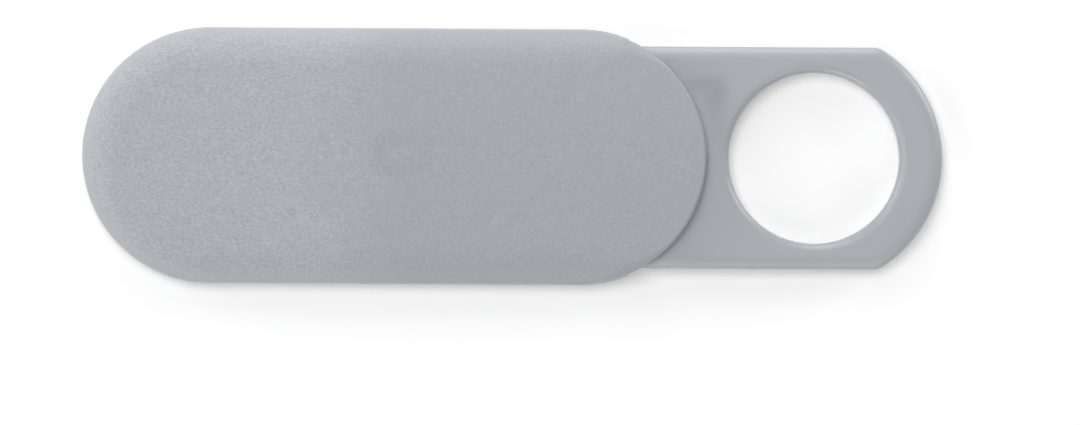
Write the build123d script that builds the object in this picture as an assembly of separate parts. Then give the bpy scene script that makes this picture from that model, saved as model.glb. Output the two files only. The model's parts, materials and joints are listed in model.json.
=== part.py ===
"""Webcam cover slider: a moulded cover that slides along a moulded base over a camera's lens.

Units are millimetres. The origin is the middle of the closed slider's outline, on its back
face. +X runs along the slide towards the lens hole, +Y across it, and +Z out of the back.
The cover is drawn open, as in the photograph.
"""

import os
from math import sqrt

from build123d import *

# Closed outline: the width follows from the lens hole and the walls beside it
COVER_LENGTH = 36.7
LENS_HOLE_DIAMETER = 10.0
LENS_SIDE_WALL = 1.5  # base between the lens hole and its straight side

# Cover moulding
COVER_TOP_WALL = 1.1
COVER_SIDE_WALL = 0.9
COVER_EDGE_ROUND = 1.2
COVER_DRAFT = 4.0  # degrees that the skirt's outer face leans in towards the top
COVER_CROWN_RADIUS = 60.0  # the top is slightly round across its width
SKIRT_END_WALL = 0.35  # the skirt stops where the round mouth has thinned it to this
LIP_REACH = 0.5
LIP_HEIGHT = 0.45
LIP_LEAD_IN = 0.2
LUG_LENGTH = 3.2
LUG_WIDTH = 2.2
LUG_DEPTH = 0.3  # how far the lug dips into the base's track
LUG_LEAD_IN = 0.1
LUG_OFFSET = 0.5  # from the middle of the cover towards its mouth
SINK_RING_INSET = 0.1  # middle of the ring inside the lug's outline
SINK_RING_WIDTH = 0.6
SINK_RING_DEPTH = 0.03

# Base moulding
FLANGE_THICKNESS = 0.8
BASE_EDGE_ROUND = 0.6
NOSE_CORNER_ROUND = 1.0
LENS_RIM_ROUND = 0.5
TRACK_SIDE_WALL = 2.1  # base between the track and its straight side
TRACK_DEPTH = 0.45
TRACK_CORNER = 2.5

# Tape and liner, cut to one outline
TAPE_THICKNESS = 0.25
TAPE_INSET = 0.15
TAPE_HOLE_MARGIN = 0.2
LINER_THICKNESS = 0.08

# Clearances
SLIDE_CLEARANCE = 0.1
STOP_CLEARANCE = 0.1
LIP_END_CLEARANCE = 0.15
SKIRT_LIFT = 0.05  # foot of the skirt above the underside of the base
OPEN_GAP = 1.2  # open mouth clear of the lens hole

# Plan positions worked out from the sizes above
LENS_RADIUS = LENS_HOLE_DIAMETER / 2
BASE_HALF = LENS_RADIUS + LENS_SIDE_WALL
CHANNEL_HALF = BASE_HALF + SLIDE_CLEARANCE
END_RADIUS = CHANNEL_HALF + COVER_SIDE_WALL
COVER_WIDTH = 2 * END_RADIUS
END_CENTRE = COVER_LENGTH / 2 - END_RADIUS
LENS_X = END_CENTRE
TRAVEL = COVER_LENGTH / 2 - (LENS_X - LENS_RADIUS - OPEN_GAP)
LIP_HALF = CHANNEL_HALF - LIP_REACH
FOOT_HALF = LIP_HALF - SLIDE_CLEARANCE
REBATE_END = END_CENTRE + LIP_END_CLEARANCE
SKIRT_END = END_CENTRE + sqrt(END_RADIUS**2 - (CHANNEL_HALF + SKIRT_END_WALL) ** 2)
TRACK_HALF = BASE_HALF - TRACK_SIDE_WALL
TRACK_LENGTH = TRAVEL + LUG_LENGTH + 2 * STOP_CLEARANCE
TRACK_MIDDLE = LUG_OFFSET - TRAVEL / 2

# Heights above the back face
TAPE_Z = LINER_THICKNESS
BASE_Z = TAPE_Z + TAPE_THICKNESS
SKIRT_Z = BASE_Z + SKIRT_LIFT
LIP_TOP_Z = SKIRT_Z + LIP_HEIGHT
FLANGE_Z = LIP_TOP_Z + SLIDE_CLEARANCE
BASE_TOP_Z = FLANGE_Z + FLANGE_THICKNESS
CEILING_Z = BASE_TOP_Z + SLIDE_CLEARANCE
COVER_TOP_Z = CEILING_Z + COVER_TOP_WALL


def tailed_bar(half_width: float, right_end: float) -> Sketch:
    """Bar outline with a round tail on the left end centre and a square right end."""
    length = right_end + END_CENTRE
    bar = Pos(right_end - length / 2, 0) * Rectangle(length, 2 * half_width)
    return Pos(-END_CENTRE, 0) * Circle(half_width) + bar


def plate_outline(inset: float) -> Sketch:
    """Outline of the base, or of a sheet cut smaller by the inset: round tail, trimmed round nose."""
    half_width = BASE_HALF - inset
    nose_radius = END_RADIUS - inset
    nose = Pos(END_CENTRE, 0) * Circle(nose_radius)
    trim = Pos(END_CENTRE, 0) * Rectangle(2 * nose_radius, 2 * half_width)
    outline = tailed_bar(half_width, END_CENTRE) + (nose & trim)
    corners = outline.vertices().sort_by(Axis.X)[-2:]
    return fillet(corners, NOSE_CORNER_ROUND)


def make_lip() -> Part:
    """Lip along the foot of one side: mitred ends and a lead-in that snaps over the base."""
    root = CHANNEL_HALF + COVER_SIDE_WALL / 2
    plan = Polygon(
        (-END_CENTRE, root),
        (-END_CENTRE, CHANNEL_HALF),
        (-END_CENTRE + LIP_REACH, LIP_HALF),
        (END_CENTRE - LIP_REACH, LIP_HALF),
        (END_CENTRE, CHANNEL_HALF),
        (END_CENTRE, root),
        align=None,
    )
    lip = extrude(Pos(0, 0, SKIRT_Z) * plan, LIP_HEIGHT)
    tip_edges = lip.faces().sort_by(Axis.Y)[0].edges()
    return chamfer(tip_edges.sort_by(Axis.Z)[0], LIP_LEAD_IN)


def make_lug() -> Part:
    """Stop lug that hangs from the ceiling of the cover into the track of the base."""
    plan = Pos(LUG_OFFSET, 0, CEILING_Z) * SlotOverall(LUG_LENGTH, LUG_WIDTH)
    lug = extrude(plan, -(SLIDE_CLEARANCE + LUG_DEPTH))
    return chamfer(lug.faces().sort_by(Axis.Z)[0].edges(), LUG_LEAD_IN)


def make_sink_ring() -> Part:
    """Cutter for the shallow ring that shows on top of the cover, along the outline of the lug."""
    ring = SlotOverall(LUG_LENGTH - 2 * SINK_RING_INSET, LUG_WIDTH - 2 * SINK_RING_INSET).wire()
    half_width = SINK_RING_WIDTH / 2
    dip = ThreePointArc((-half_width, 0), (0, -SINK_RING_DEPTH), (half_width, 0))
    lid = Polyline(
        (half_width, 0), (half_width, SINK_RING_DEPTH), (-half_width, SINK_RING_DEPTH), (-half_width, 0)
    )
    start = Plane(ring @ 0, x_dir=Vector(0, 0, 1).cross(ring % 0), z_dir=ring % 0)
    groove = sweep(start * make_face(dip + lid), ring)
    return Pos(LUG_OFFSET, 0, COVER_TOP_Z) * groove


def make_cover() -> Part:
    """Cover moulding: drafted cap with a crowned top, hollowed into a channel with an open mouth."""
    outline = Pos(0, 0, SKIRT_Z) * SlotOverall(COVER_LENGTH, COVER_WIDTH)
    cover = extrude(outline, COVER_TOP_Z - SKIRT_Z, taper=COVER_DRAFT)
    crown = Rot(0, 90, 0) * Cylinder(COVER_CROWN_RADIUS, 2 * COVER_LENGTH)
    cover &= Pos(0, 0, COVER_TOP_Z - COVER_CROWN_RADIUS) * crown
    cover = fillet(cover.faces().sort_by(Axis.Z)[-1].edges(), COVER_EDGE_ROUND)

    depth = CEILING_Z - SKIRT_Z
    cover -= extrude(Pos(0, 0, SKIRT_Z) * tailed_bar(CHANNEL_HALF, COVER_LENGTH), depth)
    mouth = Rectangle(COVER_LENGTH, 2 * COVER_WIDTH, align=(Align.MIN, Align.CENTER))
    cover -= extrude(Pos(SKIRT_END, 0, SKIRT_Z) * mouth, depth)

    lip = make_lip()
    cover += [lip, mirror(lip, Plane.XZ), make_lug()]
    cover -= make_sink_ring()
    return Pos(-TRAVEL, 0, 0) * cover


def make_track() -> Part:
    """Cutter for the shallow track in the top of the base, whose two ends stop the lug."""
    plan = RectangleRounded(TRACK_LENGTH, 2 * TRACK_HALF, TRACK_CORNER)
    return extrude(Pos(TRACK_MIDDLE, 0, BASE_TOP_Z) * plan, -TRACK_DEPTH)


def make_base() -> Part:
    """Base moulding: flanged plate with the lens hole, and the track for the lug."""
    height = BASE_TOP_Z - BASE_Z
    base = extrude(Pos(0, 0, BASE_Z) * plate_outline(0), height)
    base = fillet(base.faces().sort_by(Axis.Z)[-1].edges(), BASE_EDGE_ROUND)

    beside = Rectangle(2 * COVER_LENGTH, 2 * COVER_WIDTH, align=(Align.MAX, Align.CENTER))
    lip_room = Pos(REBATE_END, 0) * beside - tailed_bar(FOOT_HALF, REBATE_END)
    base -= extrude(Pos(0, 0, BASE_Z) * lip_room, FLANGE_Z - BASE_Z)

    base -= extrude(Pos(LENS_X, 0, BASE_Z) * Circle(LENS_RADIUS), height)
    top_arcs = base.faces().sort_by(Axis.Z)[-1].edges().filter_by(GeomType.CIRCLE)
    lens_rim = min(top_arcs, key=lambda edge: abs(edge.radius - LENS_RADIUS))
    base = fillet(lens_rim, LENS_RIM_ROUND)
    return base - make_track()


def make_sheet(bottom: float, thickness: float) -> Part:
    """Sheet stuck under the base: the base's outline cut smaller, with a wider lens hole."""
    outline = plate_outline(BASE_HALF - FOOT_HALF + TAPE_INSET)
    outline -= Pos(LENS_X, 0) * Circle(LENS_RADIUS + TAPE_HOLE_MARGIN)
    return extrude(Pos(0, 0, bottom) * outline, thickness)


os.makedirs("parts", exist_ok=True)
export_step(make_cover(), "parts/slider_cover.step")
export_step(make_base(), "parts/base_plate.step")
export_step(make_sheet(TAPE_Z, TAPE_THICKNESS), "parts/adhesive_tape.step")
export_step(make_sheet(0, LINER_THICKNESS), "parts/release_liner.step")
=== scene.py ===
"""Looks of the webcam cover slider: its two mouldings, its tape and liner, and a plain studio.

Lengths are in metres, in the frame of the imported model: +X along the slide towards the lens
window, +Y across it, +Z out of the back face. The cover is drawn open, as in the photograph.
"""

import json
import logging
from dataclasses import dataclass
from enum import Enum
from functools import cached_property
from math import asin, atan2, cos, pi, radians, sin, tan

import bmesh
import bpy
import numpy as np
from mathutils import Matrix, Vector

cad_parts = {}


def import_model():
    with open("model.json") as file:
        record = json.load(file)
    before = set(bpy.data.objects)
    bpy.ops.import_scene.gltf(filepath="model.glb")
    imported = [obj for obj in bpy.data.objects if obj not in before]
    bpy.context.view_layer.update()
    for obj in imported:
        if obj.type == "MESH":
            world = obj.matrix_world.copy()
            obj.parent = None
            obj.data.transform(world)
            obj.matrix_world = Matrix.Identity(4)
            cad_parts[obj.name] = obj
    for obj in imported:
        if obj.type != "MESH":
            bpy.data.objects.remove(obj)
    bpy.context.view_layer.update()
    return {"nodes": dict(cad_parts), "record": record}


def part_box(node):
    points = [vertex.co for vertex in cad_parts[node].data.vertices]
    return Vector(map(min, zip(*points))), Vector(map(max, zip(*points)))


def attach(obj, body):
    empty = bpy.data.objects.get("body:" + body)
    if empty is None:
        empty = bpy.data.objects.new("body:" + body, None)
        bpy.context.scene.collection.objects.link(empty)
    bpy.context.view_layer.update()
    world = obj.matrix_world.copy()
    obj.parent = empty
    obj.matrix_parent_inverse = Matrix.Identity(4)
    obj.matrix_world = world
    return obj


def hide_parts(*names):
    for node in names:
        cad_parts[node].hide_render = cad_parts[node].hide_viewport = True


LOG = logging.getLogger("webcam_cover_slider")
MM = 1e-3
WELD_GAP = 1e-7  # points nearer than this become one
CREASE = radians(35.0)  # edges that bend more stay sharp
NOISE_MIDDLE = 0.5
NOISE_SPAN = (0.3, 0.7)  # where nearly all of a noise lies
FINE_DETAIL = 3.0  # octaves of the noises that make grain and fibres
RIM_MARK = "rim"  # point attributes that the finishes read
# painted shade of the sunken ring on the cover
SINK_SHADE_MARK = "ring_painted_shade"
# painted shade on the base beside the window
PAINTED_SHADE_MARK = "painted_window_shade"

Colour = tuple[float, float, float]
Socket = bpy.types.NodeSocket
WHITE: Colour = (1.0, 1.0, 1.0)
SHADERS = {bpy.types.Material: "Principled BSDF", bpy.types.World: "Background"}


class Body(Enum):
    """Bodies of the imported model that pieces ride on."""

    BASE = "base"
    COVER = "cover"


class Slot(Enum):
    """Material slots of the record that the two mouldings fill."""

    COVER = "cover_plastic"
    BASE = "base_plastic"


def runs(stops: tuple[float, ...], counts: tuple[int, ...]) -> np.ndarray:
    """Values along joined runs, each cut into equal steps.

    Args:
        stops: Ends of the runs, in order.
        counts: Steps in each run, one number fewer than the stops.

    Returns:
        Every value in order, with each stop once.
    """
    parts = [np.linspace(a, b, n, endpoint=False) for a, b, n in zip(stops, stops[1:], counts)]
    return np.concatenate([*parts, [stops[-1]]])


def smooth_step(share: np.ndarray) -> np.ndarray:
    """S-curve from 0 to 1 as the share goes from 0 to 1, level at both ends and beyond them."""
    share = np.clip(share, 0, 1)
    return share**2 * (3 - 2 * share)


def mirrored(half: np.ndarray) -> np.ndarray:
    """Closes rings that run from the right tip to the left tip with their mirror image in Y.

    Args:
        half: Rows x columns x 3 points of the +Y half, the first and last column on Y = 0.

    Returns:
        Rows x columns x 3 points of whole rings, counter-clockwise from above.
    """
    return np.concatenate((half, half[:, -2:0:-1] * (1, -1, 1)), axis=1)


@dataclass(frozen=True)
class HalfOutline:
    """The +Y half of an outline round a spine on the X axis, from its right tip to its left tip.

    Each column is a point of the spine and the direction from it to the outline.
    """

    spine: np.ndarray
    angle: np.ndarray

    @classmethod
    def joined(
        cls, end: float, right: np.ndarray, side: np.ndarray, left: np.ndarray
    ) -> "HalfOutline":
        """Joins a right end, a straight side and a left end.

        Args:
            end: X of the right end's centre. The left end's centre mirrors it.
            right: Directions round the right end.
            side: Spine points along the straight side.
            left: Directions round the left end.

        Returns:
            The outline.
        """
        spine = np.concatenate((np.full(right.size, end), side, np.full(left.size, -end)))
        angle = np.concatenate((right, np.full(side.size, pi / 2), left))
        return cls(spine, angle)

    def rings(self, radius: np.ndarray, height: np.ndarray) -> np.ndarray:
        """Points at spine point + radius x direction, at a height.

        Args:
            radius: Distance from the spine, as rows x columns or anything that spreads to it.
            height: Z, in the same form.

        Returns:
            Rows x columns x 3 points.
        """
        radius, height, spine, angle = np.broadcast_arrays(radius, height, self.spine, self.angle)
        return np.stack((spine + radius * np.cos(angle), radius * np.sin(angle), height), axis=-1)


@dataclass(frozen=True)
class Shell:
    """A surface skinned over a stack of closed rings, with its faces outwards."""

    rings: np.ndarray
    is_tube: bool = False  # the last ring joins the first

    def faces(self) -> np.ndarray:
        """Four-sided faces: ring k to ring k + 1, column j to column j + 1.

        Returns:
            Faces x 4 point numbers.
        """
        rows, columns = self.rings.shape[:2]
        number = np.arange(rows * columns).reshape(rows, columns)
        after = np.roll(number, -1, axis=0)
        beside = np.roll(number, -1, axis=1)
        corners = np.stack((number, after, np.roll(after, -1, axis=1), beside), axis=-1)
        return (corners if self.is_tube else corners[:-1]).reshape(-1, 4)


def make_piece(name: str, shells: list[Shell]) -> bpy.types.Object:
    """Makes one object from shells: doubles merged, smooth except over sharp creases.

    Args:
        name: Name of the object and its mesh.
        shells: Surfaces of the piece.

    Returns:
        The object, at the origin, in the scene.
    """
    starts = np.cumsum([0] + [shell.rings.size // 3 for shell in shells[:-1]])
    points = np.concatenate([shell.rings.reshape(-1, 3) for shell in shells])
    faces = np.concatenate([shell.faces() + start for shell, start in zip(shells, starts)])
    mesh = bpy.data.meshes.new(name)
    mesh.from_pydata(points.tolist(), [], faces.tolist())
    weld = bmesh.new()
    weld.from_mesh(mesh)
    bmesh.ops.remove_doubles(weld, verts=weld.verts, dist=WELD_GAP)
    bmesh.ops.dissolve_degenerate(weld, edges=weld.edges, dist=WELD_GAP)
    weld.to_mesh(mesh)
    weld.free()
    mesh.shade_smooth()
    mesh.set_sharp_from_angle(angle=CREASE)
    piece = bpy.data.objects.new(name, mesh)
    bpy.context.scene.collection.objects.link(piece)
    return piece


def point_rows(mesh: bpy.types.Mesh) -> np.ndarray:
    """X, Y and Z of every point of a mesh, as three rows."""
    points = np.empty(3 * len(mesh.vertices))
    mesh.vertices.foreach_get("co", points)
    return points.reshape(-1, 3).T


def set_mark(mesh: bpy.types.Mesh, name: str, values: np.ndarray) -> None:
    """Gives a mesh a point attribute for its finish to read."""
    mesh.attributes.new(name, "FLOAT", "POINT").data.foreach_set("value", values)


class NodeGraph:
    """Shader nodes of one material or world, with short calls to add and join them."""

    def __init__(self, owner: bpy.types.Material | bpy.types.World) -> None:
        """Starts from the shader that a new material or world comes with."""
        owner.use_nodes = True
        self.owner = owner
        self.tree = owner.node_tree
        self.shader = self.tree.nodes[SHADERS[type(owner)]]

    @cached_property
    def place(self) -> Socket:
        """The piece's own coordinates."""
        return self.add("ShaderNodeTexCoord").outputs["Object"]

    def add(self, kind: str, **inputs: float | Colour | Socket) -> bpy.types.Node:
        """Adds a node.

        Args:
            kind: The node's type.
            inputs: Numbers and colours to set, and sockets to join, as in feed.

        Returns:
            The node.
        """
        node = self.tree.nodes.new(kind)
        self.feed(node, **inputs)
        return node

    def feed(self, node: bpy.types.Node, **inputs: float | Colour | Socket) -> None:
        """Sets or joins inputs of a node, by input name with _ for a space."""
        for name, value in inputs.items():
            self.join(node.inputs[name.replace("_", " ")], value)

    def join(self, socket: Socket, value: float | Colour | Socket) -> None:
        """Joins an input to a socket, or sets it to a number or a colour."""
        if isinstance(value, Socket):
            self.tree.links.new(value, socket)
        else:
            socket.default_value = (*value, 1.0) if isinstance(value, tuple) else value

    def noise(self, size: float, detail: float = 2.0, stretch: float = 1.0) -> Socket:
        """Noise from 0 to 1 whose clouds are about the given size across, drawn out along X."""
        lie = self.add("ShaderNodeMapping", Vector=self.place)
        lie.inputs["Scale"].default_value = (1 / stretch, 1, 1)
        place = lie.outputs["Vector"]
        node = self.add("ShaderNodeTexNoise", Vector=place, Scale=1 / size, Detail=detail)
        return node.outputs["Fac"]

    def marked(self, name: str) -> Socket:
        """Value of one of the piece's own point attributes."""
        node = self.add("ShaderNodeAttribute")
        node.attribute_name = name
        return node.outputs["Fac"]

    def math(self, operation: str, *terms: Socket | float) -> Socket:
        """Result of a sum on numbers and sockets."""
        node = self.add("ShaderNodeMath")
        node.operation = operation
        for socket, term in zip(node.inputs, terms):
            self.join(socket, term)
        return node.outputs["Value"]

    def seen_directly(self) -> Socket:
        """1 for camera, glossy and transmission rays, and 0 for the rest."""
        path = self.add("ShaderNodeLightPath").outputs
        seen = self.math("MAXIMUM", path["Is Camera Ray"], path["Is Glossy Ray"])
        return self.math("MAXIMUM", seen, path["Is Transmission Ray"])

    def step(self, value: Socket, start: float, end: float) -> Socket:
        """Smooth step from 0 at the start to 1 at the end."""
        node = self.add("ShaderNodeMapRange", Value=value, From_Min=start, From_Max=end)
        node.interpolation_type = "SMOOTHSTEP"
        return node.outputs["Result"]

    def spread(self, factor: Socket, low: float, high: float) -> Socket:
        """Stretches a noise so that nearly all of it runs from low to high."""
        node = self.add("ShaderNodeMapRange", Value=factor, To_Min=low, To_Max=high)
        self.feed(node, From_Min=NOISE_SPAN[0], From_Max=NOISE_SPAN[1])
        return node.outputs["Result"]

    def tint(self, colour: Socket | Colour, level: Socket) -> Socket:
        """Colour with its brightness scaled by a level."""
        node = self.add("ShaderNodeHueSaturation", Color=colour, Value=level)
        return node.outputs["Color"]

    def blend(self, factor: Socket, first: Colour, second: Colour) -> Socket:
        """Colour between two, by a factor from 0 to 1."""
        node = self.add("ShaderNodeMixRGB", Fac=factor, Color1=first, Color2=second)
        return node.outputs["Color"]

    def bump(self, height: Socket, depth: float, under: Socket | None = None) -> Socket:
        """Normal of a relief whose height runs over the given depth, on top of another normal."""
        node = self.add("ShaderNodeBump", Height=height, Distance=depth)
        if under is not None:
            self.feed(node, Normal=under)
        return node.outputs["Normal"]


@dataclass(frozen=True)
class SatinPlastic:
    """Smooth moulded ABS: slightly clouded under a very fine, even grain, with painted shade beside
    the window.
    """

    name: str = "satin_grey_plastic"
    light: Colour = (0.437, 0.442, 0.475)
    dark: Colour = (0.413, 0.418, 0.449)
    roughness: tuple[float, float] = (0.30, 0.38)
    grain_size: float = 0.06 * MM
    grain_depth: float = 0.001 * MM
    grain_shade: float = 0.008
    gloss_size: float = 0.18 * MM
    # strength of the painted shade beside the window
    painted_shade_level: float = 0.17
    cloud_size: float = 9.0 * MM
    sheen_level: float = 0.70

    def material(self) -> bpy.types.Material:
        """Builds the material: relief and brightness come from one noise, gloss from a wider one.

        Returns:
            The finished material.
        """
        graph = NodeGraph(bpy.data.materials.new(self.name))
        clouds = graph.blend(graph.noise(self.cloud_size), self.dark, self.light)
        grain = graph.noise(self.grain_size, FINE_DETAIL)
        level = graph.spread(grain, 1 - self.grain_shade, 1 + self.grain_shade)
        # painted shade beside the window darkens the colour where the base marks it
        level = graph.math("MULTIPLY_ADD", graph.marked(PAINTED_SHADE_MARK), -self.painted_shade_level, level)
        graph.feed(
            graph.shader,
            Base_Color=graph.tint(clouds, level),
            Roughness=graph.spread(graph.noise(self.gloss_size), *self.roughness),
            Specular_IOR_Level=self.sheen_level,
            Normal=graph.bump(grain, self.grain_depth),
        )
        return graph.owner


@dataclass(frozen=True)
class GrainedPlastic:
    """Grained moulded ABS: pale with a strong grain at the tail, darker past a wavy front.

    A noise of grains and a wider one of patches make the relief and the change of brightness, and
    the patches also the change of gloss. The grain runs out towards the rim, and the ring that
    sank over the lug gets painted shade, darkest on one side.
    """

    name: str = "grained_grey_plastic"
    tail: Colour = (0.465, 0.470, 0.504)
    mouth: Colour = (0.423, 0.428, 0.460)
    front: tuple[float, float] = (-12.0 * MM, -19.0 * MM)  # the tail's look begins, is full
    wave: float = 8.0 * MM
    wave_size: float = 7.0 * MM
    roughness: tuple[float, float] = (0.50, 0.62)
    grain_size: float = 0.12 * MM
    grain_stretch: float = 1.5
    grain_depth: float = 0.02 * MM
    grain_shade: float = 0.14
    patch_size: float = 0.5 * MM
    patch_depth: float = 0.02 * MM
    patch_shade: float = 0.03
    mouth_grain: float = 0.6  # share of the tail's grain
    # strength of the painted shade of the sunken ring
    ring_shade_level: float = 0.07
    sheen_level: float = 0.35

    def material(self) -> bpy.types.Material:
        """Builds the material.

        Returns:
            The finished material.
        """
        graph = NodeGraph(bpy.data.materials.new(self.name))
        x = graph.add("ShaderNodeSeparateXYZ", Vector=graph.place).outputs["X"]
        wave = graph.math("SUBTRACT", graph.noise(self.wave_size), NOISE_MIDDLE)
        tail_share = graph.step(graph.math("MULTIPLY_ADD", wave, self.wave, x), *self.front)
        amount = graph.math("MULTIPLY_ADD", tail_share, 1 - self.mouth_grain, self.mouth_grain)
        inside = graph.math("SUBTRACT", 1.0, graph.marked(RIM_MARK))
        amount = graph.math("MULTIPLY", amount, inside)

        grain = graph.noise(self.grain_size, FINE_DETAIL, self.grain_stretch)
        patches = graph.noise(self.patch_size, FINE_DETAIL, self.grain_stretch)
        shade = graph.math(
            "ADD",
            graph.spread(grain, -self.grain_shade, self.grain_shade),
            graph.spread(patches, -self.patch_shade, self.patch_shade),
        )
        level = graph.math("MULTIPLY_ADD", shade, amount, 1.0)
        # painted shade of the sunken ring
        level = graph.math("MULTIPLY_ADD", graph.marked(SINK_SHADE_MARK), -self.ring_shade_level, level)
        relief = graph.bump(graph.math("MULTIPLY", patches, amount), self.patch_depth)
        relief = graph.bump(graph.math("MULTIPLY", grain, amount), self.grain_depth, relief)
        graph.feed(
            graph.shader,
            Base_Color=graph.tint(graph.blend(tail_share, self.mouth, self.tail), level),
            Roughness=graph.spread(patches, *self.roughness),
            Specular_IOR_Level=self.sheen_level,
            Normal=relief,
        )
        return graph.owner


@dataclass(frozen=True)
class FoamTapeFinish:
    """Closed-cell foam between two coats of glue: small round cells with thin bright walls and
    painted shade in their hollows.
    """

    name: str = "foam_tape"
    wall: Colour = (0.80, 0.80, 0.78)
    # painted shade in the cells' hollows
    shaded_hollow: Colour = (0.66, 0.66, 0.64)
    cell_size: float = 0.11 * MM
    cell_depth: float = 0.03 * MM
    roughness: tuple[float, float] = (0.78, 0.92)
    gloss_size: float = 0.66 * MM

    def material(self) -> bpy.types.Material:
        """Builds the material: distance to the cells' middles makes the walls, the relief and the
        painted shade in the hollows.

        Returns:
            The finished material.
        """
        graph = NodeGraph(bpy.data.materials.new(self.name))
        cells = graph.add("ShaderNodeTexVoronoi", Vector=graph.place, Scale=1 / self.cell_size)
        height = cells.outputs["Distance"]
        graph.feed(
            graph.shader,
            # painted shade in the cells' hollows, where the relief is lowest
            Base_Color=graph.blend(height, self.shaded_hollow, self.wall),
            Roughness=graph.spread(graph.noise(self.gloss_size), *self.roughness),
            Normal=graph.bump(height, self.cell_depth),
        )
        return graph.owner


@dataclass(frozen=True)
class ReleasePaperFinish:
    """Glazed release paper: short fibres along the sheet under a thin, slightly uneven gloss."""

    name: str = "liner_paper"
    pulp: Colour = (0.83, 0.81, 0.75)
    fibre: Colour = (0.74, 0.71, 0.63)
    fibre_width: float = 0.07 * MM
    fibre_squeeze: float = 0.18  # of the noise along the fibres
    relief_depth: float = 0.004 * MM
    roughness: tuple[float, float] = (0.36, 0.48)
    gloss_size: float = 1.5 * MM
    coat_weight: float = 0.25
    coat_roughness: float = 0.3

    def material(self) -> bpy.types.Material:
        """Builds the material: noise squeezed along X makes fibres that lie along the sheet.

        Returns:
            The finished material.
        """
        graph = NodeGraph(bpy.data.materials.new(self.name))
        fibres = graph.noise(self.fibre_width, FINE_DETAIL, 1 / self.fibre_squeeze)
        graph.feed(
            graph.shader,
            Base_Color=graph.blend(graph.spread(fibres, 0.0, 1.0), self.fibre, self.pulp),
            Roughness=graph.spread(graph.noise(self.gloss_size), *self.roughness),
            Coat_Weight=self.coat_weight,
            Coat_Roughness=self.coat_roughness,
            Normal=graph.bump(fibres, self.relief_depth),
        )
        return graph.owner


@dataclass(frozen=True)
class SliderPlan:
    """Places that the sub-assemblies share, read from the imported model."""

    end_radius: float
    end_centre: float  # of a round end, from the middle of a moulding
    cover_middle: float
    cover_foot: float
    cover_top: float
    base_foot: float
    base_top: float
    base_half: float
    lens_radius: float

    @classmethod
    def read(cls, record: dict) -> "SliderPlan":
        """Reads the nodes' boxes and the lens window of the record.

        Args:
            record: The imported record.

        Returns:
            The plan, in metres.
        """
        cover_low, cover_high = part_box("slider_cover")
        base_low, base_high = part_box("base_plate")
        window = next(mount for mount in record["mounts"] if mount["name"] == "lens_window")
        end_radius = cover_high.y
        return cls(
            end_radius=end_radius,
            end_centre=base_high.x - end_radius,
            cover_middle=cover_low.x + base_high.x,
            cover_foot=cover_low.z,
            cover_top=cover_high.z,
            base_foot=base_low.z,
            base_top=base_high.z,
            base_half=base_high.y,
            lens_radius=window["dims"]["r_mm"] * MM,
        )


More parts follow.
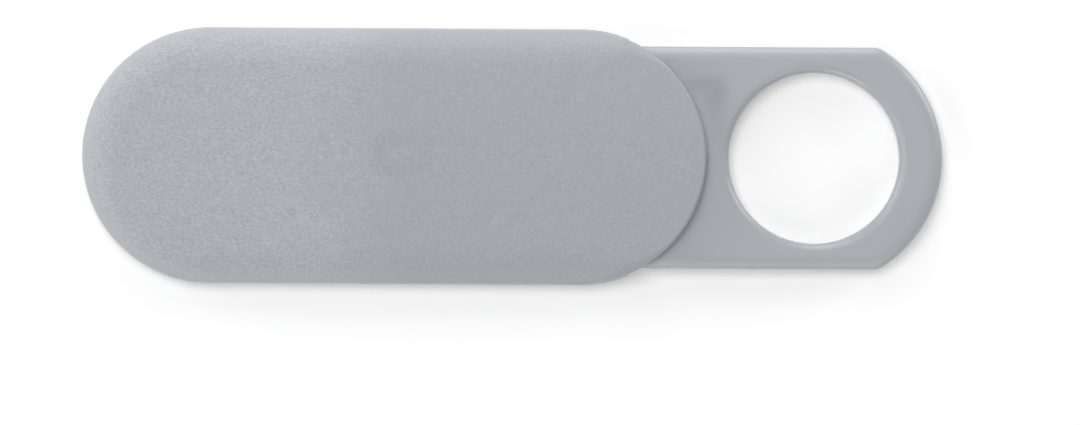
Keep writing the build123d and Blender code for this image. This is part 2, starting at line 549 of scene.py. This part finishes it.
@dataclass
class SliderCover:
    """Cover moulding: a crowned cap with a round shoulder, hollowed into a channel with two lips."""

    plan: SliderPlan
    crown_radius: float = 60.0 * MM  # of the top, across the cover
    shoulder_reach: float = 2.2 * MM
    shoulder_drop: float = 1.3 * MM
    mouth_reach: float = 0.28 * MM
    mouth_drop: float = 0.25 * MM
    tight_until: float = radians(30.0)  # direction up to which the shoulder is the mouth's
    draft: float = radians(4.0)
    foot_round: float = 0.06 * MM
    top_wall: float = 1.1 * MM
    clearance: float = 0.1 * MM
    end_wall: float = 0.35 * MM
    lip_reach: float = 0.5 * MM
    lip_height: float = 0.45 * MM
    lip_lead_in: float = 0.2 * MM
    lug_offset: float = 0.5 * MM
    lug_length: float = 3.2 * MM
    lug_width: float = 2.2 * MM
    lug_dip: float = 0.3 * MM
    lug_lead_in: float = 0.1 * MM
    lug_root: float = 0.1 * MM  # how far the lug is sunk into the ceiling
    sink_radius: float = 0.9 * MM
    sink_width: float = 0.45 * MM
    sink_depth: float = 0.02 * MM
    shaded_side: float = radians(215.0)  # direction in which the ring's painted shade is darkest
    even_shade_share: float = 0.68  # of the ring's painted shade that is the same all round
    smooth_rim: float = 0.8 * MM  # width over which the grain runs out
    mouth_steps: int = 30
    corner_steps: int = 10
    side_steps: tuple[int, ...] = (3, 14, 64, 16, 3)
    tail_steps: int = 44
    close_share: float = 0.36  # of the way out over the top, with close rows for the sink ring
    top_steps: tuple[int, int] = (40, 24)
    shoulder_steps: int = 27
    skirt_steps: int = 4
    ceiling_steps: int = 14
    ceiling_start: float = 0.96  # of the way out to the channel's wall
    lug_steps: int = 12

    @property
    def ceiling(self) -> float:
        """Height of the channel's ceiling."""
        return self.plan.cover_top - self.top_wall

    @property
    def channel_half(self) -> float:
        """Half width of the channel."""
        return self.plan.base_half + self.clearance

    @property
    def mouth_angle(self) -> float:
        """Direction, from the mouth's end centre, in which the skirt stops."""
        return asin((self.channel_half + self.end_wall) / self.plan.end_radius)

    def side_radius(self, height: np.ndarray) -> np.ndarray:
        """Radius of the outer side, which leans in by the draft above its foot."""
        return self.plan.end_radius - (height - self.plan.cover_foot) * tan(self.draft)

    def crown_drop(self, y: np.ndarray) -> np.ndarray:
        """Depth of the crowned top under its middle line: that of a circle across the cover."""
        return self.crown_radius - np.sqrt(self.crown_radius**2 - y**2)

    def shoulder(self, angle: np.ndarray, lowest: np.ndarray) -> np.ndarray:
        """Rounded shoulder of each column, from the crowned top to the leaning side.

        The line that touches the crown where the shoulder starts and the side's line meet in a
        corner. The shoulder is a quarter circle stretched to touch both: corner - reach x
        (1 - sine) along the first + drop x (1 - cosine) along the second. Round the open end it
        tightens to the mouth's own reach and drop.

        Args:
            angle: Direction of each column.
            lowest: Height by which the shoulder has ended.

        Returns:
            Rows x columns x 2 of radius and height.
        """
        plan = self.plan
        share = smooth_step((angle - self.tight_until) / (pi / 2 - self.tight_until)) ** 2
        more_reach = self.shoulder_reach - self.mouth_reach
        start = plan.end_radius - self.mouth_reach - share * more_reach
        start_z = plan.cover_top - self.crown_drop(start * np.sin(angle))
        tilt = np.arctan(start * np.sin(angle) ** 2 / self.crown_radius)
        along = np.stack((np.cos(tilt), -np.sin(tilt)), axis=-1)
        down = np.array((sin(self.draft), -cos(self.draft)))

        gap = self.side_radius(start_z) - start
        reach = (gap / (np.cos(tilt) - np.sin(tilt) * tan(self.draft)))[:, None]
        corner = np.stack((start, start_z), axis=-1) + reach * along
        drop = self.mouth_drop + share * (self.shoulder_drop - self.mouth_drop)
        drop = np.minimum(drop, (corner[:, 1] - lowest) / cos(self.draft))[:, None]
        turn = runs((0, pi / 2), (self.shoulder_steps,))[:, None, None]
        return corner - reach * (1 - np.sin(turn)) * along + drop * (1 - np.cos(turn)) * down

    def half_outline(self) -> tuple[HalfOutline, np.ndarray]:
        """Columns round the cover, close together over the sink ring and the lips' mitres.

        Returns:
            The outline about the cover's own middle, and which columns belong to the open mouth.
        """
        end = self.plan.end_centre
        mitre = end - self.lip_reach
        ring_end = self.lug_offset + self.lug_length / 2
        ring_start = self.lug_offset - self.lug_length / 2
        mouth = runs((0, self.mouth_angle), (self.mouth_steps,))
        corner = runs((self.mouth_angle, pi / 2), (self.corner_steps,))
        side = runs((end, mitre, ring_end, ring_start, -mitre, -end), self.side_steps)[1:]
        tail = runs((pi / 2, pi), (self.tail_steps,))[1:]
        outline = HalfOutline.joined(end, np.concatenate((mouth, corner)), side, tail)
        return outline, np.arange(outline.spine.size) < mouth.size

    def sink_dip(self, x: np.ndarray, y: np.ndarray) -> np.ndarray:
        """Depth of the shallow ring where the top sank over the lug as it cooled.

        It is a bell curve of the distance to a line as long as the lug's straight part, deepest
        at the ring's radius.

        Args:
            x: Along the cover, from its middle.
            y: Across the cover.

        Returns:
            Depth under the crowned top.
        """
        straight = (self.lug_length - self.lug_width) / 2
        beyond = np.maximum(np.abs(x - self.lug_offset) - straight, 0)
        away = np.hypot(beyond, y)
        return self.sink_depth * np.exp(-(((away - self.sink_radius) / self.sink_width) ** 2))

    def mark(self, mesh: bpy.types.Mesh) -> None:
        """Marks each point for the finish: how far out on the rim it is, and how much painted shade
        the ring gets.

        The rim's mark is an S-curve of the distance from the cover's spine. The other is the painted
        shade of the ring: its dip as a share of its depth x (a constant + the cosine of the direction
        from the shaded side), so the ring's painted shade is darkest on that side.

        Args:
            mesh: The cover, in its place.
        """
        x, y, _ = point_rows(mesh)
        x = x - self.plan.cover_middle
        beyond = np.maximum(np.abs(x) - self.plan.end_centre, 0)
        out = (np.hypot(beyond, y) - self.plan.end_radius) / self.smooth_rim + 1
        side = np.cos(np.arctan2(y, x - self.lug_offset) - self.shaded_side)
        ring_shading = self.even_shade_share + (1 - self.even_shade_share) * side
        set_mark(mesh, RIM_MARK, smooth_step(out))
        # painted shade on the sunken ring, darkest on its shaded side
        set_mark(mesh, SINK_SHADE_MARK, ring_shading * self.sink_dip(x, y) / self.sink_depth)

    def cap(self) -> Shell:
        """Profile carried round the outline: top, shoulder, side, foot, lip, inner wall, ceiling.

        The inner wall is straight along the sides and round the tail; at the mouth the skirt's
        rows draw up to the ceiling, which leaves the mouth open.

        Returns:
            The cover without its lug.
        """
        plan = self.plan
        outline, is_mouth = self.half_outline()
        foot = np.where(is_mouth, self.ceiling, plan.cover_foot)
        at_right_end = outline.angle < pi / 2
        least = sin(self.mouth_angle)
        opening = np.where(at_right_end, np.maximum(np.sin(outline.angle), least), 1)
        inner = self.channel_half / opening
        lip = np.clip(plan.end_centre - np.abs(outline.spine), 0, self.lip_reach)
        lead_in = lip * self.lip_lead_in / self.lip_reach
        lip_top = np.maximum(plan.cover_foot + self.lip_height, foot)

        shoulder = self.shoulder(outline.angle, foot + 2 * self.foot_round)
        side = runs((0, 1), (self.skirt_steps,))[1:, None]
        side_z = shoulder[-1, :, 1] + side * (foot + self.foot_round - shoulder[-1, :, 1])
        curl = runs((0, pi / 2), (self.skirt_steps,))[1:, None]
        ceiling = runs((self.ceiling_start, 0), (self.ceiling_steps,))[:, None]

        share = runs((0, self.close_share, 1), self.top_steps)[:-1, None]
        top = outline.rings(share * shoulder[0, :, 0], plan.cover_top)
        top[..., 2] -= self.crown_drop(top[..., 1]) + self.sink_dip(top[..., 0], top[..., 1])
        below = [
            (shoulder[..., 0], shoulder[..., 1]),
            (self.side_radius(side_z), side_z),
            (
                self.side_radius(foot + self.foot_round) - self.foot_round * (1 - np.cos(curl)),
                foot + self.foot_round * (1 - np.sin(curl)),
            ),
            (inner - lip + lead_in, foot),
            (inner - lip, foot + lead_in),
            (inner - lip, lip_top),
            (inner, lip_top),
            (inner, self.ceiling),
            (inner * ceiling, self.ceiling),
        ]
        rows = [outline.rings(np.atleast_2d(radius), height) for radius, height in below]
        return Shell(mirrored(np.concatenate([top, *rows])))

    def lug(self) -> Shell:
        """Slot-shaped stop lug with a chamfered foot, its root sunk into the ceiling.

        Returns:
            A closed shell.
        """
        straight = (self.lug_length - self.lug_width) / 2
        right = runs((0, pi / 2), (self.lug_steps,))
        spine = np.repeat((straight, -straight), right.size) + self.lug_offset
        outline = HalfOutline(spine, np.concatenate((right, right + pi / 2)))
        radius = self.lug_width / 2
        root = self.ceiling + self.lug_root
        foot = self.ceiling - self.clearance - self.lug_dip
        profile = np.array(
            (
                (0, root),
                (radius, root),
                (radius, foot + self.lug_lead_in),
                (radius - self.lug_lead_in, foot),
                (0, foot),
            )
        )
        return Shell(mirrored(outline.rings(profile[:, :1], profile[:, 1:])))

    def build(self) -> bpy.types.Object:
        """Returns:
            The piece.
        """
        open_place = (self.plan.cover_middle, 0, 0)
        shells = [Shell(shell.rings + open_place) for shell in (self.cap(), self.lug())]
        piece = make_piece("cover_moulding", shells)
        self.mark(piece.data)
        piece.data.materials.append(GrainedPlastic().material())
        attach(piece, Body.COVER.value)
        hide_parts("slider_cover")
        return piece


@dataclass
class BasePlate:
    """Base moulding: a flanged plate with a round tail, a trimmed nose, a lens window and a track."""

    plan: SliderPlan
    edge_reach: float = 0.75 * MM
    edge_drop: float = 0.5 * MM
    nose_sharpness: float = 150.0  # how tightly the trimmed nose turns its two corners
    flange_thickness: float = 0.8 * MM
    flange_reach: float = 0.5 * MM
    rebate_beyond: float = 0.15 * MM  # past the nose's end centre
    rim_round: float = 0.5 * MM
    track_depth: float = 0.45 * MM
    track_half: float = 4.4 * MM
    track_ends: tuple[float, float] = (-14.9 * MM, 2.2 * MM)
    track_corner: float = 2.5 * MM
    wall_lean: float = 0.3 * MM  # width of the track's walls, seen from above
    # painted shade beside the window: a slanted streak and the soft spot it ends in
    shade_streak_from: tuple[float, float] = (3.7 * MM, 4.3 * MM)
    shade_streak_to: tuple[float, float] = (5.2 * MM, 4.35 * MM)
    shade_streak_width: float = 0.45 * MM
    shade_streak_faint: float = 0.5  # strength of the streak where it starts
    spot: tuple[float, float] = (5.25 * MM, 3.85 * MM)
    spot_radii: tuple[float, float] = (0.55 * MM, 0.85 * MM)
    nose_steps: int = 64
    rebate_steps: int = 2
    side_steps: int = 84
    tail_steps: int = 40
    land_steps: int = 89
    round_steps: int = 15

    @property
    def lens_x(self) -> float:
        """Middle of the lens window, which shares the nose's end centre."""
        return self.plan.end_centre

    @property
    def nose_angle(self) -> float:
        """Direction, from the nose's end centre, in which the rebate under the flange ends."""
        return atan2(self.plan.base_half, self.rebate_beyond)

    def nose_columns(self) -> np.ndarray:
        """Directions round the nose, with two columns where the rebate ends."""
        front = runs((0, self.nose_angle), (self.nose_steps,))
        back = runs((self.nose_angle, pi / 2), (self.rebate_steps,))
        return np.concatenate((front, back))

    def half_outline(self) -> HalfOutline:
        """Columns of the outer outline.

        Returns:
            The outline: nose arc, straight side, tail arc.
        """
        end = self.plan.end_centre
        side = runs((end, -end), (self.side_steps,))[1:]
        tail = runs((pi / 2, pi), (self.tail_steps,))[1:]
        return HalfOutline.joined(end, self.nose_columns(), side, tail)

    def window_outline(self) -> HalfOutline:
        """Columns round the lens window, one for each column of the outer outline."""
        back = runs((pi / 2, pi), (self.side_steps + self.tail_steps,))[1:]
        return HalfOutline(np.array(self.lens_x), np.concatenate((self.nose_columns(), back)))

    def track_dip(self, x: np.ndarray, y: np.ndarray) -> np.ndarray:
        """Depth of the track under the top of the base.

        Full depth x an S-curve of the distance outside an oblong with round corners.

        Args:
            x: Along the base.
            y: Across the base.

        Returns:
            Depth, 0 outside the track.
        """
        tail, stop = self.track_ends
        middle = (stop + tail) / 2
        half_length = (stop - tail) / 2
        past_x = np.maximum(np.abs(x - middle) - half_length + self.track_corner, 0)
        past_y = np.maximum(np.abs(y) - self.track_half + self.track_corner, 0)
        outside = np.hypot(past_x, past_y) - self.track_corner
        return self.track_depth * (1 - smooth_step(outside / self.wall_lean))

    def mark(self, mesh: bpy.types.Mesh) -> None:
        """Marks the painted shade beside the window, next to the cover's mouth: a slanted streak that
        ends in a soft spot.

        Each is a bell curve: of the distance to the streak's line, which fades towards the
        cover, and of the distance to the spot's middle in its two radii. The stronger one counts.

        Args:
            mesh: The base, in its place.
        """
        x, y, _ = point_rows(mesh)
        (x0, y0), (x1, y1) = self.shade_streak_from, self.shade_streak_to
        length = np.hypot(x1 - x0, y1 - y0)
        along = ((x - x0) * (x1 - x0) + (y - y0) * (y1 - y0)) / length
        share = np.clip(along / length, 0, 1)
        away = np.hypot(x - x0 - share * (x1 - x0), y - y0 - share * (y1 - y0))
        strength = self.shade_streak_faint + (1 - self.shade_streak_faint) * share
        streak = strength * np.exp(-((away / self.shade_streak_width) ** 2))
        spot_x, spot_y = self.spot
        wide, tall = self.spot_radii
        spot = np.exp(-(((x - spot_x) / wide) ** 2) - ((y - spot_y) / tall) ** 2)
        # painted shade where the cover's mouth and the track's corner would shade the base
        set_mark(mesh, PAINTED_SHADE_MARK, np.maximum(streak, spot))

    def edge_radius(self, outline: HalfOutline, inset: np.ndarray) -> np.ndarray:
        """Radius of the outer outline, drawn in by an inset.

        Along the sides and the tail it is the half width. Round the nose it is the smaller of the
        nose's radius and the distance to the straight side, blended over a short stretch.

        Args:
            outline: Columns of the outline.
            inset: How far each row is drawn in, rows x 1, or rows x columns.

        Returns:
            Rows x columns radii.
        """
        half = self.plan.base_half - inset
        nose = self.plan.end_radius - inset
        ratio = nose * np.sin(outline.angle) / half
        rounded = nose * (1 + ratio**self.nose_sharpness) ** (-1 / self.nose_sharpness)
        return np.where(outline.angle < pi / 2, rounded, half)

    def body(self) -> Shell:
        """Closed stack of rings: up the window, over rim and top, down the edge, under the flange.

        The rim is a quarter circle and the edge a quarter ellipse. Rows of the top run straight
        from one to the other, close together at both ends, and sink into the track. Under the
        flange the rows step in to the foot, except round the nose, and the last ring joins the
        first.

        Returns:
            The whole base.
        """
        plan = self.plan
        turn = runs((0, pi / 2), (self.round_steps,))[:, None]
        window = self.window_outline()
        shaft = window.rings(np.array([[plan.lens_radius]]), plan.base_foot)
        rim = window.rings(
            plan.lens_radius + self.rim_round * (1 - np.cos(turn)),
            plan.base_top - self.rim_round * (1 - np.sin(turn)),
        )
        outline = self.half_outline()
        edge = outline.rings(
            self.edge_radius(outline, self.edge_reach * (1 - np.sin(turn))),
            plan.base_top - self.edge_drop * (1 - np.cos(turn)),
        )
        across = (1 - np.cos(runs((0, pi), (self.land_steps,))[1:-1, None, None])) / 2
        top = rim[-1] + across * (edge[0] - rim[-1])
        top[..., 2] -= self.track_dip(top[..., 0], top[..., 1])

        flange_z = plan.base_top - self.flange_thickness
        is_nose = np.arange(outline.spine.size) <= self.nose_steps
        step = np.where(is_nose, 0, self.flange_reach)
        inset = np.stack((0 * step, step, step))
        drop = np.array((flange_z, flange_z, plan.base_foot))[:, None]
        foot = outline.rings(self.edge_radius(outline, inset), drop)
        return Shell(mirrored(np.concatenate((shaft, rim, top, edge, foot))), is_tube=True)

    def build(self) -> bpy.types.Object:
        """Returns:
            The piece.
        """
        piece = make_piece("base_moulding", [self.body()])
        self.mark(piece.data)
        piece.data.materials.append(SatinPlastic().material())
        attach(piece, Body.BASE.value)
        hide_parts("base_plate")
        return piece


@dataclass
class AdhesiveBacking:
    """Die-cut foam tape and its release paper, which keep their solids' shape."""

    tape: bpy.types.Object
    liner: bpy.types.Object

    def build(self) -> list[bpy.types.Object]:
        """Dresses the two sheets.

        Returns:
            The dressed nodes.
        """
        finishes = ((self.tape, FoamTapeFinish()), (self.liner, ReleasePaperFinish()))
        for sheet, finish in finishes:
            material = finish.material()
            for slot in sheet.material_slots:
                slot.material = material
        return [self.tape, self.liner]


@dataclass(frozen=True)
class Softbox:
    """Square area lamp that looks at the object."""

    name: str
    azimuth: float  # degrees, from +X towards +Y
    elevation: float  # degrees
    level: float  # share of white that a white sheet facing it shows
    distance: float = 0.6
    size: float = 0.28
    has_glare: bool = True  # shows in glossy surfaces

    def build(self, target: Vector) -> None:
        """Makes the lamp. Its power lights a sheet that faces it at the target to the level."""
        lamp = bpy.data.lights.new(self.name, "AREA")
        lamp.size = self.size
        lamp.energy = self.level * (pi * self.distance) ** 2
        holder = bpy.data.objects.new(self.name, lamp)
        turn, rise = radians(self.azimuth), radians(self.elevation)
        away = Vector((cos(turn) * cos(rise), sin(turn) * cos(rise), sin(rise)))
        holder.visible_glossy = self.has_glare
        holder.location = target + self.distance * away
        holder.rotation_euler = away.to_track_quat("Z", "Y").to_euler()
        bpy.context.scene.collection.objects.link(holder)


@dataclass
class Studio:
    """White floor, soft lamps, and a long lens that looks straight down."""

    plan: SliderPlan
    floor_half: float = 3.0
    floor_gap: float = 0.01 * MM  # under the liner
    floor_white: float = 0.95
    floor_lift: float = 0.24  # glow of the floor where it is seen directly
    ambient: float = 0.02  # level of the world's light
    lens: float = 250.0  # millimetres, like the sensor
    sensor: float = 36.0
    clip: tuple[float, float] = (0.01, 10.0)
    frame_width: float = 63.16 * MM  # at the top of the base
    look_x: float = -5.174 * MM
    look_y: float = -3.26 * MM
    roll: float = 0.0057  # radians
    lamps: tuple[Softbox, ...] = (
        Softbox("key_lamp", azimuth=122, elevation=73, level=0.43, has_glare=False),
        Softbox("back_fill", azimuth=96, elevation=36, level=0.15),
        Softbox("left_fill", azimuth=198, elevation=36, level=0.12),
        Softbox("right_fill", azimuth=292, elevation=36, level=0.155),
        Softbox("right_strip", azimuth=30, elevation=12, level=0.35),
        Softbox("back_strip", azimuth=90, elevation=12, level=0.20),
        Softbox("left_strip", azimuth=153, elevation=12, level=0.35),
        Softbox("front_strip", azimuth=252, elevation=12, level=0.32),
    )

    def build_floor(self) -> bpy.types.Object:
        """Makes the floor: a dull white sheet that glows a little where it is seen directly.

        The glow lets it clip to white round the shadow.

        Returns:
            The floor.
        """
        signs = ((-1, -1), (1, -1), (1, 1), (-1, 1))
        corners = [(x * self.floor_half, y * self.floor_half, -self.floor_gap) for x, y in signs]
        mesh = bpy.data.meshes.new("floor")
        mesh.from_pydata(corners, [], [(0, 1, 2, 3)])
        floor = bpy.data.objects.new("floor", mesh)
        bpy.context.scene.collection.objects.link(floor)
        graph = NodeGraph(bpy.data.materials.new("white_floor"))
        graph.feed(
            graph.shader,
            Base_Color=(self.floor_white, self.floor_white, self.floor_white),
            Roughness=1.0,
            Specular_IOR_Level=0.0,
            Emission_Color=WHITE,
            Emission_Strength=graph.math("MULTIPLY", graph.seen_directly(), self.floor_lift),
        )
        mesh.materials.append(graph.owner)
        return floor

    def build_world(self) -> None:
        """Makes the world: white where it is seen directly, and a faint light elsewhere."""
        graph = NodeGraph(bpy.data.worlds.new("studio"))
        seen = graph.seen_directly()
        level = graph.add("ShaderNodeMapRange", Value=seen, To_Min=self.ambient)
        graph.feed(graph.shader, Color=WHITE, Strength=level.outputs["Result"])
        bpy.context.scene.world = graph.owner

    def build_camera(self) -> None:
        """Makes the camera, as far above the base as its lens needs for the frame's width."""
        data = bpy.data.cameras.new("camera")
        data.sensor_fit = "HORIZONTAL"
        data.sensor_width = self.sensor
        data.lens = self.lens
        data.clip_start, data.clip_end = self.clip
        camera = bpy.data.objects.new("camera", data)
        height = self.plan.base_top + self.frame_width * self.lens / self.sensor
        camera.location = (self.look_x, self.look_y, height)
        camera.rotation_euler = (0, 0, self.roll)
        bpy.context.scene.collection.objects.link(camera)
        bpy.context.scene.camera = camera

    def build(self) -> bpy.types.Object:
        """Makes floor, world, lamps and camera.

        Returns:
            The floor.
        """
        target = Vector((self.look_x, 0, self.plan.base_top))
        for lamp in self.lamps:
            lamp.build(target)
        self.build_world()
        self.build_camera()
        return self.build_floor()


def main() -> None:
    """Loads the frame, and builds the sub-assemblies and the studio."""
    logging.basicConfig(level=logging.INFO, format="%(message)s")
    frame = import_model()
    bpy.context.scene.view_settings.view_transform = "Standard"

    plan = SliderPlan.read(frame["record"])
    nodes = frame["nodes"]
    backing = AdhesiveBacking(nodes["adhesive_tape"], nodes["release_liner"])
    pieces = [SliderCover(plan).build(), BasePlate(plan).build(), *backing.build()]
    for piece in pieces:
        finish = piece.material_slots[0].material.name
        LOG.info("%s: %d faces, %s", piece.name, len(piece.data.polygons), finish)
    LOG.info("%s: stage", Studio(plan).build().name)


if __name__ == "__main__":
    main()
